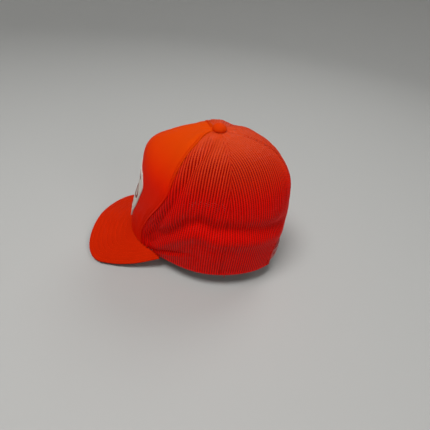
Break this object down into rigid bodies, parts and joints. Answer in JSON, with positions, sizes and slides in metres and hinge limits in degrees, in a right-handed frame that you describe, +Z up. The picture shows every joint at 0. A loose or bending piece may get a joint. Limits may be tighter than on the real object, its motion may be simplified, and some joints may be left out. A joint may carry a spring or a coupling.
{
  "type": "trucker mesh cap",
  "caption": "Trucker cap with a foam-backed front panel, mesh sides and back, a curved stitched visor, a shield patch, a top button and a rear opening with snap straps.",
  "frame": {"origin": "centre of the head opening, in the plane of the hem, straight under the top button", "axes": "+Z up; -Y forward, the way the visor points; +X the wearer's left"},
  "size_m": [0.1598, 0.2633, 0.1853],
  "materials": {
    "front_fabric": "satin",
    "foam": "matte",
    "mesh": "satin",
    "tape": "matte",
    "visor_fabric": "satin",
    "visor_board": "matte",
    "rivet": "satin",
    "sweatband": "matte",
    "binding": "satin",
    "strap_plastic": "gloss",
    "patch": "matte",
    "label": "matte"
  },
  "bodies": {
    "root": {"front_panel_fabric": "front_fabric", "front_foam_backing": "foam", "side_mesh_panel_left": "mesh", "side_mesh_panel_right": "mesh", "rear_mesh_panel_left": "mesh", "rear_mesh_panel_right": "mesh", "front_seam_tape_left": "tape", "front_seam_tape_right": "tape", "side_seam_tape_left": "tape", "side_seam_tape_right": "tape", "rear_seam_tape": "tape", "visor_top_cover": "visor_fabric", "visor_board": "visor_board", "visor_under_cover": "visor_fabric", "crown_button_cap": "front_fabric", "crown_button_rivet": "rivet", "sweatband": "sweatband", "rear_arch_binding": "binding", "hem_binding_left": "binding", "hem_binding_right": "binding", "peg_strap_anchor": "strap_plastic", "peg_strap": "strap_plastic", "hole_strap_anchor": "strap_plastic", "front_patch": "patch", "size_label": "label"},
    "hole_strap_body": {"hole_strap": "strap_plastic"}
  },
  "joints": [
    {"name": "hole_strap_swing", "type": "hinge", "parent": "root", "child": "hole_strap_body", "pos_m": [0.02837, 0.09414, 0.01], "axis": [0, 0, -1], "range_deg": [0, 70], "stiffness_Nm_per_rad": 0.002}
  ]
}
